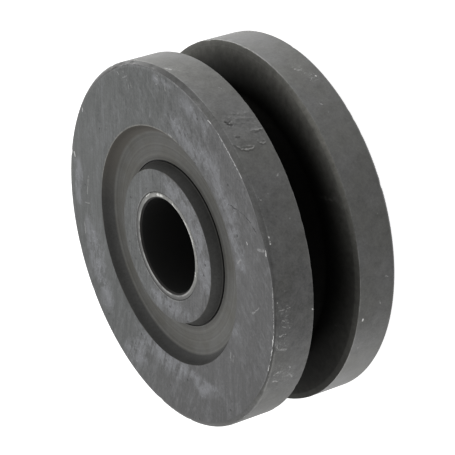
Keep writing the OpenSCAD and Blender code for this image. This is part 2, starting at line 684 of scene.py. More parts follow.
# Each chain starts at an angle and a depth, and each further station adds a height and width
RIDGES = [
    *chain(
        (22.8, 1.0), (21.8, 2.1, 0.16, 0.26), (20.4, 2.8, 0.22, 0.24), (19.8, 4.5, 0.28, 0.24),
        (19.7, 5.8, 0.28, 0.24), (20.2, 6.7, 0.24, 0.24), (20.7, 6.2, 0.20, 0.22),
        (20.9, 4.7, 0.18, 0.20), (21.1, 3.4, 0.14, 0.20),
    ),
    *chain(
        (21.9, 8.5), (20.8, 8.7, 0.18, 0.24), (20.3, 9.5, 0.26, 0.26), (20.5, 10.2, 0.24, 0.24),
        (21.2, 10.4, 0.16, 0.22),
    ),
    *chain((23.6, 9.6), (24.2, 10.8, 0.12, 0.24)),
    *chain((25.2, 8.0), (25.0, 9.3, 0.16, 0.24), (24.9, 11.3, 0.24, 0.24)),
    *chain(
        (31.7, 3.6), (31.0, 4.8, 0.10, 0.34), (30.1, 6.0, 0.10, 0.34), (30.1, 7.8, 0.12, 0.34),
        (28.9, 10.6, 0.10, 0.34),
    ),
    *chain((32.6, 5.4), (31.6, 8.2, 0.08, 0.34), (31.2, 10.8, 0.08, 0.34)),
    *chain((28.7, 5.2), (28.3, 7.4, 0.08, 0.36), (27.2, 10.0, 0.07, 0.36)),
    *chain((24.9, 3.2), (24.6, 4.5, 0.10, 0.28)),
]
# The pits beside them, with a depth in place of a height
PITS = [
    *chain((30.4, 2.8), (29.8, 3.6, 0.24, 0.28), (30.1, 4.5, 0.20, 0.24)),
    *chain((29.3, 3.1), (28.7, 4.2, 0.22, 0.26)),
    *chain((24.3, 3.3), (24.0, 4.4, 0.12, 0.28)),
    *chain((24.2, 8.9), (24.1, 11.0, 0.10, 0.28)),
]


def along_tread(angle):
    """How far round the tread an angle is, in millimetres."""
    return math.radians(angle) * TREAD_R


def relief(runs, along, depth):
    """Height of the tallest of these runs at a place on the tread."""
    best = 0.0
    for angle, top, next_angle, foot, height, width in runs:
        start = Vector((along_tread(angle), top))
        run = Vector((along_tread(next_angle), foot)) - start
        here = Vector((along, depth)) - start
        share = max(0.0, min(1.0, here.dot(run) / run.length_squared))
        off = (here - run * share).length / width
        best = max(best, height * math.exp(-off * off))
    return best


print("torn patch: %d ridge runs, %d pit runs" % (len(RIDGES), len(PITS)))

# %% [markdown]
# ## Raising the patch
#
# Each point of the patch moves straight out from the axis, by its ridge, less its pit, plus a
# little roughness of torn skin. Noise lets the runs stray, so that they don't look ruled. The
# same loop writes down what happened at each point, as three attributes of the mesh, and the
# tread's finish will read them: `torn` on ridges, `scuff` in the patch, and a third for painted
# shadow in the pits and beside the ridges.

# %% Raise the patch
STRAY = 0.3
FULL_RIDGE = 0.26
SHADE_STEP = 0.42


def patch_share(angle, depth):
    """One well inside the patch, and zero at its uneven border."""
    wander = noise.noise(Vector((angle * 0.5, depth * 0.5, 4.0)))
    sides = min(angle - 20.6, 33.0 - angle) / 1.2 + wander
    ends = min(depth - 1.8, 11.7 - depth) / 0.8 + wander
    return max(0.0, min(1.0, min(sides, ends)))


torn, scuff, painted_shadow = (
    wheel.data.attributes.new(name, "FLOAT", "POINT") for name in ("torn", "scuff", "painted_shadow")
)
raised = 0
for index, vertex in enumerate(wheel.data.vertices):
    angle, r, depth = polar(vertex.co)
    if not in_patch(angle, r, depth, slack=0.1):
        continue
    along = along_tread(angle)
    spot = Vector((along, depth * 1.3, 0))
    wobble = Vector((noise.noise(spot * 1.3), noise.noise(spot * 1.3 + Vector((9, 9, 9)))))
    strayed, lower = along + wobble.x * STRAY, depth + wobble.y * STRAY
    ridge = relief(RIDGES, strayed, lower)
    pit = relief(PITS, strayed, lower)
    inside = patch_share(angle, depth)
    rough = noise.fractal(spot * 1.1, 0.8, 2.0, 4) * 0.05
    rise = ridge * (0.8 + wobble.y * 0.4) - pit + inside * (0.03 + rough * 1.8)
    torn.data[index].value = ridge / FULL_RIDGE
    scuff.data[index].value = inside
    beside = relief(RIDGES, strayed + SHADE_STEP, lower)
    # Painted shadow: dark in the pits and on one side of each ridge
    painted_shadow.data[index].value = max(pit * 4, beside * 3 - 0.2)
    outwards = Vector((vertex.co.x, vertex.co.y, 0)).normalized()
    vertex.co += outwards * (rise * MM)
    raised += 1
print("torn patch: %d points moved" % raised)

# %% [markdown]
# ## Nicks in the corners
#
# A steel wheel that has been carried in a box has small dents in its sharp corners. Each dent
# pulls the nearest points of the corner inwards by a tenth or two of a millimetre, so the
# corner's line wavers a little and catches the light in dots. A few are placed, the others
# are scattered with a fixed seed over both ends and both edges of the groove.

# %% Nicks
NICK_REACH = 1.3
SCATTERED = 70
end_corner, mouth_corner = (TREAD_R - 0.35, 0.3), (TREAD_R, mouth_depth)
# Angle and size of the nicks that are placed
end_nicks = [
    (91, 0.30), (84, 0.34), (77, 0.24), (138, 0.25), (-8, 0.22), (-40, 0.3), (-44, 0.2),
    (-59, 0.22), (24, 0.14),
]
mouth_nicks = [(-4, 0.2), (-17.5, 0.2), (36, 0.15)]
nicks = [(angle, *end_corner, size) for angle, size in end_nicks]
nicks += [(angle, *mouth_corner, size) for angle, size in mouth_nicks]
luck = random.Random(7)
for _ in range(SCATTERED):
    r, depth = luck.choice([end_corner, mouth_corner])
    flipped = luck.random() < 0.5
    size = luck.uniform(0.05, 0.18)
    nicks.append((luck.uniform(-180, 180), r, WIDTH - depth if flipped else depth, size))

tree = kdtree.KDTree(len(wheel.data.vertices))
for index, vertex in enumerate(wheel.data.vertices):
    tree.insert(vertex.co, index)
tree.balance()
for angle, r, depth, size in nicks:
    centre = at(angle, r, depth) * MM
    inwards = (Vector((0, 0, MIDDLE * MM)) - centre).normalized()
    for co, index, gap in tree.find_range(centre, NICK_REACH * MM):
        share = 1 - (gap / (NICK_REACH * MM)) ** 2
        wheel.data.vertices[index].co += inwards * (size * share * share * MM)
print("nicks:", len(nicks))

# %% [markdown]
# ## Marks on the wheel
#
# New as it is, the wheel has been about: corners are chipped to bright metal, a few scratches
# cross the treads, and pale bands show where it was rubbed. Marks that can be pointed
# at are written as short lines, each with its two ends and its half width in millimetres, and
# the shader asks how near a place is to the nearest of them. A little noise on the place makes
# their borders ragged.

# %% Marks on the end face
def on_face(x, y):
    """A place on the upper end face, from its two distances to the axis."""
    return Vector((x, y, WIDTH))


FACE_CHIPS = [
    (at(28.0, 49.55, 0.0), at(12.5, 49.6, 0.0), 0.10),
    (at(-9.9, 49.8, 0.0), at(-11.2, 49.5, 0.0), 0.24),
    (at(-38.4, 50.0, 0.0), at(-40.2, 50.05, 0.0), 0.34),
    (at(-36.6, 50.0, 0.0), at(-38.4, 50.05, 0.0), 0.14),
    (at(-41.4, 50.0, 0.0), at(-45.6, 50.05, 0.0), 0.12),
    (at(-47.6, 50.0, 0.0), at(-49.6, 50.0, 0.0), 0.12),
    (at(-20.5, 50.1, 0.0), at(-35.5, 50.1, 0.0), 0.07),
    (at(-58.4, 50.0, 0.0), at(-59.2, 50.1, 0.0), 0.16),
    (at(-61.4, 50.0, 0.0), at(-62.2, 50.0, 0.0), 0.14),
    (at(137.1, 48.4, 0.0), at(138.4, 47.9, 0.0), 0.26),
    (at(117.9, 49.1, 0.0), at(118.8, 48.6, 0.0), 0.16),
    (at(34.0, 49.1, 0.0), at(32.2, 49.4, 0.0), 0.14),
    (on_face(41.3, -5.2), on_face(41.4, -5.6), 0.20),
]
FACE_SCRATCHES = [
    (on_face(33.4, -23.0), on_face(34.6, -22.8), 0.30),
    (on_face(34.6, -22.8), on_face(37.4, -22.0), 0.18),
    (on_face(14.8, -34.0), on_face(16.4, -31.6), 0.22),
    (on_face(16.2, -34.2), on_face(17.4, -32.6), 0.16),
    (on_face(33.7, -9.6), on_face(35.8, -8.8), 0.24),
    (on_face(45.6, -7.7), on_face(48.2, -8.3), 0.46),
    (on_face(6.4, 45.4), on_face(6.1, 43.2), 0.18),
    (on_face(7.5, 44.5), on_face(7.7, 42.3), 0.16),
    (on_face(3.4, 46.4), on_face(6.7, 46.4), 0.20),
    (on_face(2.5, 48.4), on_face(3.0, 47.6), 0.22),
    (on_face(5.4, 48.2), on_face(5.8, 47.6), 0.22),
    (on_face(24.4, 38.7), on_face(25.8, 41.5), 0.22),
    (on_face(30.1, 39.2), on_face(31.1, 38.4), 0.30),
    (on_face(22.0, 43.7), on_face(22.8, 42.9), 0.20),
    (on_face(21.1, 42.8), on_face(22.1, 42.1), 0.24),
    (on_face(20.4, 41.3), on_face(21.0, 41.1), 0.20),
    (on_face(12.5, 34.4), on_face(11.8, 33.7), 0.20),
    (on_face(-38.0, 18.6), on_face(-36.0, 18.0), 0.24),
    (on_face(-35.4, 20.8), on_face(-31.6, 25.2), 0.26),
    (on_face(-43.6, 10.4), on_face(-42.4, 13.4), 0.26),
    (on_face(19.1, 28.0), on_face(20.4, 26.8), 0.24),
]
CRACK = [
    (on_face(38.4, 5.6), on_face(43.4, 2.2), 0.27),
    (on_face(43.4, 2.2), on_face(46.0, -0.6), 0.25),
    (on_face(46.0, -0.6), on_face(47.4, -3.2), 0.2),
]
RUBBED = [
    (on_face(23, 30), on_face(28, 24), 5.0),
    (on_face(30, 22), on_face(36, 15), 5.0),
    (on_face(36, 12), on_face(37, 3), 4.0),
    (on_face(36, -2), on_face(36, -10), 3.2),
    (on_face(22, -27), on_face(24, -26), 3.0),
    (on_face(31, 34), on_face(38, 26), 4.2),
    (on_face(-13, -33), on_face(-22, -27), 6.0),
    (on_face(-26, -23), on_face(-37, -26), 6.0),
    (on_face(-8, -36), on_face(2, -42), 3.4),
    (on_face(-43, -8), on_face(-40, 10), 5.0),
    (on_face(-41, 21), on_face(-35, 29), 3.4),
    (on_face(20, 43), on_face(27, 40), 1.4),
    (on_face(12, 15), on_face(18, 6), 5.0),
    (on_face(18, 2), on_face(15, -13), 5.5),
    (on_face(-2, -19), on_face(-15, -12), 4.0),
]
face_marks = len(FACE_CHIPS) + len(FACE_SCRATCHES) + len(CRACK)
print("end face: %d marks, rubbed along %d lines" % (face_marks, len(RUBBED)))

# %% [markdown]
# ## Marks on the treads and in the groove
#
# The treads are marked in the same way, by angle and depth. Near the two groups of scratches
# the skin is scuffed as well, over wider and softer areas, and some grease is smeared on the
# flank of the groove.

# %% Marks on the treads
def on_tread(angle, depth):
    """A place on a tread, from its angle and its depth below the upper end."""
    return at(angle, TREAD_R, depth)


TREAD_CHIPS = [
    (on_tread(-5.8, 1.35), on_tread(-8.3, 1.4), 0.15),
    (on_tread(-31.0, 11.4), on_tread(-31.5, 11.5), 0.20),
    (on_tread(-16.4, 11.8), on_tread(-16.8, 11.9), 0.12),
    (on_tread(-40.8, 28.1), on_tread(-41.4, 28.3), 0.20),
    (on_tread(38.0, 35.6), on_tread(37.2, 35.8), 0.22),
    (on_tread(-52.6, 28.8), on_tread(-53.2, 29.0), 0.12),
]
TREAD_SCRATCHES = [
    (on_tread(-38.4, 0.8), on_tread(-41.2, 1.2), 0.20),
    (on_tread(-41.2, 1.2), on_tread(-42.2, 4.0), 0.26),
    (on_tread(-36.6, 1.4), on_tread(-36.8, 3.2), 0.20),
    (on_tread(-52.0, 1.6), on_tread(-51.0, 2.8), 0.24),
    (on_tread(-54.6, 2.2), on_tread(-55.6, 3.8), 0.26),
    (on_tread(-49.8, 6.0), on_tread(-50.6, 6.6), 0.22),
    (on_tread(-53.6, 7.4), on_tread(-55.8, 8.4), 0.20),
    (on_tread(-28.2, 1.0), on_tread(-28.4, 4.4), 0.18),
    (on_tread(-31.4, 1.8), on_tread(-32.8, 3.8), 0.14),
    (on_tread(-33.6, 2.0), on_tread(-35.0, 4.6), 0.14),
    (on_tread(36.6, 33.0), on_tread(37.6, 35.8), 0.16),
    (on_tread(39.4, 34.0), on_tread(37.6, 35.8), 0.14),
    (on_tread(42.4, 31.6), on_tread(41.6, 32.4), 0.22),
    (on_tread(27.8, 31.2), on_tread(27.2, 31.6), 0.22),
    (on_tread(42.0, 32.6), on_tread(41.0, 33.2), 0.18),
    (on_tread(-36.4, 33.2), on_tread(-37.0, 33.6), 0.26),
    (on_tread(-28.4, 34.8), on_tread(-28.8, 35.8), 0.18),
    (on_tread(10.0, 9.2), on_tread(10.4, 9.6), 0.18),
    (on_tread(43.6, 8.2), on_tread(43.0, 8.6), 0.16),
    (on_tread(5.4, 1.6), on_tread(4.6, 2.2), 0.20),
    (on_tread(58.8, 2.2), on_tread(60.4, 1.8), 0.50),
]
SCUFFED = [
    (on_tread(-27.5, 2.4), on_tread(-33.0, 3.4), 2.2),
    (on_tread(-37.0, 2.6), on_tread(-41.0, 2.8), 1.6),
    (on_tread(-50.0, 3.0), on_tread(-55.0, 6.8), 2.8),
    (on_tread(43.0, 32.6), on_tread(37.0, 34.4), 1.8),
    (on_tread(61.0, 2.4), on_tread(57.0, 3.4), 1.3),
]
SMEARS = [
    (at(-4.4, 50.4, 26.0), at(-4.8, 47.2, 26.2), 0.5),
    (at(-2.0, 47.0, 26.2), at(0.4, 41.0, 26.4), 0.8),
    (at(47.2, 43.4, 26.2), at(46.8, 43.0, 26.2), 0.35),
    (at(63.4, 41.2, 26.2), at(62.8, 40.8, 26.2), 0.4),
    (at(-48.6, 44.0, 26.2), at(-49.4, 43.6, 26.2), 0.35),
    (at(0.8, 40.4, 26.4), at(0.6, 39.6, 26.4), 0.3),
]
tread_marks = len(TREAD_CHIPS) + len(TREAD_SCRATCHES) + len(SCUFFED)
print("treads: %d marks, groove: %d smears" % (tread_marks, len(SMEARS)))

# %% [markdown]
# ## Strokes on the end faces
#
# The steel was blackened after turning, and then the end faces were rubbed back to grey on a
# belt. Rubbed steel could be one grey with a roughness map, but then nothing on it has a
# direction. Noise that is squeezed along one direction draws long hairs instead of lumps, and
# several sizes of it, added up, make strokes. They lie steeper on the right than at the lower
# left, so two fields with a fixed direction each are blended. One field whose direction
# changed from place to place would draw curls.

# %% Strokes
def face_strokes(place):
    """The noise that the rubbed faces are made of, from long hairs to fine grain."""
    x, y = place.part(0), place.part(1)
    hair = place.placed(-58, (0.07, 1.0, 0.3)).cloud(0.5, 2.0, 0.65)
    steep = place.placed(-60, (0.12, 1.0, 0.3), (5, 0, 2)).cloud(1.4, 4.0, 0.68)
    leaning = place.placed(-36, (0.12, 1.0, 0.3), (4, 1, 2)).cloud(1.4, 4.0, 0.68)
    feathers = place.placed(-102, (0.2, 1.0, 0.3), (3, 1, 5)).cloud(1.5, 4.0, 0.66, 0.5)
    steep_side = x.rise(-16, 12).higher(y.rise(-16, 12))
    strokes = leaning + (steep - leaning) * steep_side
    lines = strokes + (feathers - strokes) * right_half(place)
    bands = place.placed(-44, (0.2, 1.0, 0.3), (7, 3, 0)).cloud(6.0, 3.0, 0.6)
    swirls = place.cloud(1.6, 5.0, 0.72, 1.2)
    grain = place.cloud(0.55, 2.0, 0.75)
    return hair, lines, bands, swirls, grain


def right_half(place):
    """One on the side of the end face where the rubbing crossed the strokes."""
    return (place.part(0) + place.part(1) * 0.3).rise(0, 18)


print("strokes of the end faces ready")

# %% [markdown]
# ## Grey steel and pale frost
#
# The strokes first make the steel's grey lighter and darker. Over it lies a pale frost, where
# the wheel was rubbed harder against its neighbours. It is strongest along the rubbed lines
# that were placed above, and a thin haze of it lies everywhere. Metal keeps its colour in
# Base Color, so both are only colours here, blended by masks.

# %% Steel and frost
STEEL_PLAIN, STEEL_GREENISH = (0.156, 0.156, 0.157), (0.151, 0.156, 0.154)
FROST, SPARKLE = (0.283, 0.288, 0.304), (0.42, 0.43, 0.45)


def rubbed_grey(place, strokes):
    """Grey of the rubbed steel, with its strokes."""
    hair, lines, bands, swirls, grain = strokes
    x, y, upper = place.part(0), place.part(1), place.upper_half()
    hub_vivid = place.from_axis().rise(HUB_R, HUB_R + 2, 1.75, 1.0)
    vivid = hub_vivid + (x * 0.5 + y).rise(10, 40, 0.0, 0.6)
    tone = hair * 0.46 + lines * 0.42 + bands * 0.24 + swirls * 0.36 + grain * 0.36 - 0.92
    tone = 0.97 + tone * vivid + (y * 0.0014 - x * 0.0010) * upper
    tone = tone - (x + y).rise(-50, -20, 0.1, 0.0) * upper
    return (y - x).rise(-30, 30).blend(STEEL_PLAIN, STEEL_GREENISH).shade(tone)


def frosted(place, colour, strokes):
    """Adds the pale frost where the face was rubbed."""
    _, lines, bands, swirls, grain = strokes
    upper = place.upper_half()
    blotches = place.placed(-44, (0.45, 1.0, 0.3), (1, 6, 4)).cloud(3.4, 5.0, 0.66, 0.8)
    here = place.wobbled(6.0, 8.0).near(RUBBED).rise(0.1, 1.3, 1.0, 0.0) * upper
    elsewhere = bands.rise(0.5, 0.66, 0.0, 0.8) * (1.2 - upper)
    rubbed = here.higher(elsewhere)
    texture = blotches * 0.36 + lines * 0.36 + swirls * 0.28
    frost = (texture + rubbed * 0.05).rise(0.44, 0.6) * rubbed
    frost = frost * (0.9 - right_half(place) * 0.12)
    haze = texture.rise(0.48, 0.64) * 0.34
    colour = (frost * 0.85).higher(haze).blend(colour, FROST)
    sparkle = (grain * 0.5 + swirls * 0.5).rise(0.53, 0.66) * frost
    return (sparkle * 0.6).blend(colour, SPARKLE)


print("steel and frost of the end faces ready")

# %% [markdown]
# ## Worn lines along the corners
#
# Where two faces meet, handling wears the black off, and a thin bright line is left. Each
# line is a narrow window on the distance from the axis. Multiplied by noise it breaks up, so
# that it doesn't look drawn with a compass.

# %% Worn lines
WORN_RIM, WORN_RECESS, WORN_SEAT = (0.27, 0.27, 0.27), (0.30, 0.29, 0.265), (0.30, 0.30, 0.295)


def with_worn_lines(place, colour, swirls):
    """Adds the lines at the end edge, at the recess and around the bush's seat."""
    x, y, r = place.part(0), place.part(1), place.from_axis()
    border = y.rise(-14, 2, TREAD_R - 0.85, TREAD_R - 1.3)
    rim_line = abs(r - border).rise(0.1, 0.5, 1.0, 0.0)
    rim_line = rim_line * swirls.rise(0.38, 0.6, 0.12, 0.6) * y.rise(-14, 2, 0.5, 1.0)
    colour = rim_line.blend(colour, WORN_RIM)
    recess_line = r.rise(RECESS_R + 0.15, RECESS_R + 0.5, 1.0, 0.0) * y.rise(20, 27)
    recess_line = recess_line * swirls.rise(0.4, 0.55, 0.15, 0.8)
    colour = recess_line.blend(colour, WORN_RECESS)
    seat_line = r.rise(SEAT_R + 0.3, SEAT_R + 0.55, 1.0, 0.0) * x.rise(-8, 4, 1.0, 0.0)
    seat_line = seat_line * swirls.rise(0.42, 0.56, 0.2, 1.0)
    return seat_line.blend(colour, WORN_SEAT)


print("worn lines ready, at the end edge, the recess and the seat")

# %% [markdown]
# ## The rubbed end faces
#
# The last layer holds what can be counted: specks, chips, scratches and one fine crack. Each
# is a mask, used twice: once to blend in its colour, and once to press it into the height, so
# that a chip is bright and also hollow.

# %% Rubbed steel
SPECK_DARK, SPECK_PALE = (0.05, 0.05, 0.05), (0.36, 0.36, 0.37)
SCRATCHED, CRACKED, CHIPPED = (0.38, 0.38, 0.38), (0.04, 0.04, 0.04), (0.68, 0.68, 0.67)


def rubbed_steel():
    material, shader, place = new_material("rubbed_steel")
    strokes = face_strokes(place)
    hair, lines, _, swirls, _ = strokes
    colour = frosted(place, rubbed_grey(place, strokes), strokes)
    dark_specks = place.moved((3, 5, 7)).specks(2.6, 0.52, 0.34)
    pale_specks = place.moved((9, 1, 4)).specks(3.4, 0.32, 0.3)
    colour = (dark_specks * 0.7).blend(colour, SPECK_DARK)
    colour = (pale_specks * 0.45).blend(colour, SPECK_PALE)
    colour = with_worn_lines(place, colour, swirls)

    ragged = place.wobbled(0.9, 0.7)
    chips = ragged.near(FACE_CHIPS).rise(0.6, 1.1, 1.0, 0.0) * swirls.rise(0.28, 0.42)
    scratches = ragged.near(FACE_SCRATCHES).rise(0.3, 1.4, 1.0, 0.0) * swirls.rise(0.36, 0.56)
    crack = place.wobbled(2.2, 1.6).near(CRACK).rise(0.4, 1.3, 1.0, 0.0)
    colour = (scratches * 0.7).blend(colour, SCRATCHED)
    colour = (crack * 0.85).blend(colour, CRACKED)
    colour = chips.blend(colour, CHIPPED)

    height = hair * 0.5 + swirls * 0.5 - dark_specks * 0.8 - (chips + scratches + crack)
    roughness = 0.52 + lines * 0.06 - chips * 0.15
    close_material(place, shader, colour, roughness, 0.8, height, 0.4)
    return material


face_finish = rubbed_steel()
print("%s: %d nodes" % (face_finish.name, len(face_finish.node_tree.nodes)))

# %% [markdown]
# ## The recess
#
# The recess was turned and never rubbed, so its floor shows the tool's rings under a brownish
# film. Rings need noise on one number only, the distance from the axis. The walls get painted
# shade, much darker than the floor, with painted light on one side of each wall and a warm tint
# on the rim's wall. Painted shade draws a black line in the fine groove at the foot of the hub.

# %% Turned recess
FILM_BROWN, FILM_GREY = (0.128, 0.125, 0.112), (0.152, 0.152, 0.145)
WALL_TINT, WALL_WARM_LIGHT = (1.0, 1.0, 0.96), (0.115, 0.105, 0.089)
RECESS_SPECK, RECESS_BORDER, FOOT_SHADE = (0.3, 0.3, 0.28), (0.24, 0.23, 0.2), (0.005, 0.005, 0.005)


def recess_floor(place, rings, blotches, grain):
    """The floor: a brownish film over the rings, with pale specks."""
    x, y = place.part(0), place.part(1)
    tone = 0.09 + rings + grain * 0.4 + (x * 0.5 - y * 0.87).rise(14, 28, 0.0, 0.15)
    film = blotches.rise(0.3, 0.7).blend(FILM_BROWN, FILM_GREY).shade(tone)
    pale_specks = place.moved((6, 6, 1)).specks(3.4, 0.24, 0.25)
    return (pale_specks * 0.5).blend(film, RECESS_SPECK)


def recess_wall(place, blotches, grain):
    """The walls: painted shade keeps them dark, with painted light on one side of the hub and a
    warm tint with painted light on one side of the rim.
    """
    x, y = place.part(0), place.part(1)
    outer_wall = place.from_axis().rise(HUB_R + 3, HUB_R + 5)
    # Painted light: the hub's wall is lighter on one side, the rim's wall darker on one side
    hub_wall_light = y.rise(-18, 14, 1.55, 1.0)
    rim_wall_light = (x * 0.5 + y * 0.87).rise(-32, -24, 0.82, 1.18)
    level = hub_wall_light + (rim_wall_light - hub_wall_light) * outer_wall
    # Painted shade keeps the walls far darker than the floor
    level = level * (0.012 + blotches * 0.034 + grain * 0.044)
    # A warm tint with painted light on one side of the rim's wall
    warm = y.rise(14, 31, 0.0, 0.75) * outer_wall
    return warm.blend(place.grey(level, WALL_TINT), WALL_WARM_LIGHT)


def recess_steel():
    material, shader, place = new_material("turned_recess")
    r, depth = place.from_axis(), place.below_end()
    fine_rings = r.rings(0.9, 3.0)
    wide_rings = r.rings(2.6, 2.0)
    blotches = place.cloud(6.0, 4.0, 0.62)
    grain = place.cloud(0.7, 3.0, 0.7)
    floor_share = depth.rise(RECESS_DEPTH - 0.55, RECESS_DEPTH - 0.12)
    ground = recess_floor(place, fine_rings * 0.85 + wide_rings * 0.6, blotches, grain)
    colour = floor_share.blend(recess_wall(place, blotches, grain), ground)
    top_line = depth.rise(0.03, 0.22, 0.5, 0.0) * blotches.rise(0.45, 0.6)
    colour = top_line.blend(colour, RECESS_BORDER)
    # Painted shade: the fine groove at the foot of the hub is drawn black
    foot = abs(r - (HUB_R + lean + 0.16)).rise(0.2, 0.28, 1.0, 0.0)
    colour = foot.blend(colour, FOOT_SHADE)
    height = (fine_rings + wide_rings) * floor_share + grain * 0.5
    close_material(place, shader, colour, 0.55, 0.3, height, 0.3)
    shader.inputs["Specular IOR Level"].default_value = 0.4
    return material


recess_finish = recess_steel()
print("%s: %d nodes" % (recess_finish.name, len(recess_finish.node_tree.nodes)))

# %% [markdown]
# ## The skin of the treads
#
# The treads keep the dull black skin that they were given. A skin like that is almost one
# grey, and its life is in a faint mottle at several sizes. Lamps alone would shade it too
# evenly along the curve, so painted light and shade change the tone a little round the wheel,
# and the bevelled stretch of the end edge gets painted shade of its own.

# %% Tread skin
SKIN_WARM, SKIN_COOL = (0.090, 0.090, 0.086), (0.098, 0.098, 0.097)


def on_edge(depth):
    """One on the end edge, and zero on the tread."""
    return depth.rise(EDGE_DROP - 0.1, EDGE_DROP + 0.1, 1.0, 0.0)


def tread_skin(place, mottled, grain):
    """Dull grey of the treads and of the end edge, with painted light and shade round the wheel."""
    x, y = place.part(0), place.part(1)
    depth, upper = place.below_end(), place.upper_half()
    # Painted shade on one stretch of the upper tread, painted light on one side and on the lower
    # tread
    dull = y.rise(-38, -26) * y.rise(-24, -4, 1.0, 0.0) * upper * 0.13
    lit_side = y.rise(0, 16) * y.rise(26, 46, 1.0, 0.0) * 0.16
    lower_tread_light = (y.rise(-48, -30, 0.5, 0.0) + y.rise(26, 36, 0.0, 0.1) + 0.07) * (1 - upper)
    tone = 0.99 + (mottled * 0.68 + grain * 0.54 - 0.61) * (1.3 + upper * 0.2)
    skin = place.cloud(13.0, 2.0, 0.5).rise(0.35, 0.65).blend(SKIN_WARM, SKIN_COOL)
    skin = skin.shade(tone + lit_side + lower_tread_light - dull)
    # Painted shade on the bevelled end edge, lighter and darker round the wheel
    edge_shade = on_edge(depth) * upper * x.rise(-6, 8)
    level = y.rise(-14, 4, 0.95, 1.24) * y.rise(28, 48, 1.0, 0.16)
    level = level * y.rise(-45, -38, depth.rise(0.1, 0.5, 1.35, 0.8), 1.0)
    strip = depth.rise(0.8, 2.0, 0.17, 0.0) * upper * y.rise(-36, -16, 1.0, 0.0)
    return skin.shade(1 + edge_shade * (level - 1) - strip * (1 - edge_shade))


print("tread skin ready, its end edge %.1f mm deep" % EDGE_DROP)

# %% [markdown]
# ## Rubbed borders and torn metal
#
# The skin is worn through along the borders of each tread, and fresh metal shows where it was
# struck; the end edges get painted highlight and painted reflection. The torn patch was
# modelled above, and it left three numbers on its points: where the ridges stand, where the
# skin is scuffed and where painted shadow falls. The Attribute node reads them, so colour and
# shape can't drift apart.

# %% Tread borders and torn metal
BORDER_WORN, EDGE_WEAR_AND_SHEEN, MOUTH_WORN = (0.26, 0.26, 0.26), (0.17, 0.17, 0.169), (0.19, 0.19, 0.185)
SCUFF_GREY, RIDGE_BARE_AND_HIGHLIGHT, SHADOW_BLACK = (0.15, 0.15, 0.147), (0.27, 0.27, 0.262), (0.028, 0.028, 0.027)


def with_tread_borders(place, colour, mottled):
    """Adds the wear along the end edge and at the groove's mouth, with painted highlight and
    painted reflection along the end edges.
    """
    x, y = place.part(0), place.part(1)
    depth, upper = place.below_end(), place.upper_half()
    border = abs(depth - (EDGE_DROP + 0.2)).rise(0.05, 0.3, 0.2, 0.0) * upper * y.rise(-14, 0)
    colour = (border * mottled.rise(0.42, 0.6)).blend(colour, BORDER_WORN)
    # Painted highlight along the upper end edge on one side, partly wear, and a painted reflection
    # of the floor along the lower end edge
    upper_edge_wear_and_sheen = depth.rise(0.12, 0.4, 0.7, 0.0) * upper * x.rise(-6, 8, 1.0, 0.0)
    lower_edge_reflection = depth.rise(0.95, 1.15, 0.6, 0.0) * (1 - upper)
    colour = upper_edge_wear_and_sheen.higher(lower_edge_reflection).blend(colour, EDGE_WEAR_AND_SHEEN)
    mouth = depth.rise(mouth_depth - 0.3, mouth_depth - 0.1)
    mouth = mouth * mottled.rise(0.4, 0.6, 0.05, 0.55)
    return mouth.blend(colour, MOUTH_WORN)


def with_torn_metal(place, colour, mottled):
    """Adds the scuffed skin, the bare metal and painted highlight of the ridges, and the painted
    shadow of the torn patch.
    """
    torn, scuff, painted_shadow = (
        place.node("ShaderNodeAttribute", {"attribute_name": name}, output="Fac")
        for name in ("torn", "scuff", "painted_shadow")
    )
    colour = (scuff * mottled.rise(0.42, 0.66, 0.0, 0.4)).blend(colour, SCUFF_GREY)
    # Bare metal with a painted highlight on the ridges, then painted shadow in the pits and beside
    # the ridges
    colour = torn.rise(0.35, 0.95, 0.0, 0.6).blend(colour, RIDGE_BARE_AND_HIGHLIGHT)
    return (painted_shadow.rise(0.05, 0.9) * 0.62).blend(colour, SHADOW_BLACK)


print("tread borders ready, the groove's mouth %.1f mm deep" % mouth_depth)

# %% [markdown]
# ## The dull treads
#
# On top of skin, borders and torn metal come the chips and scratches that were placed, broken
# up by the grain, and a few flecks and specks. As on the end faces, each mask colours the
# steel and is pressed into it.

# %% Blackened tread
TREAD_SPECK_DARK, TREAD_SPECK_PALE = (0.035, 0.035, 0.035), (0.25, 0.25, 0.25)
TREAD_SCRATCHED, TREAD_CHIPPED = (0.30, 0.30, 0.295), (0.50, 0.50, 0.49)


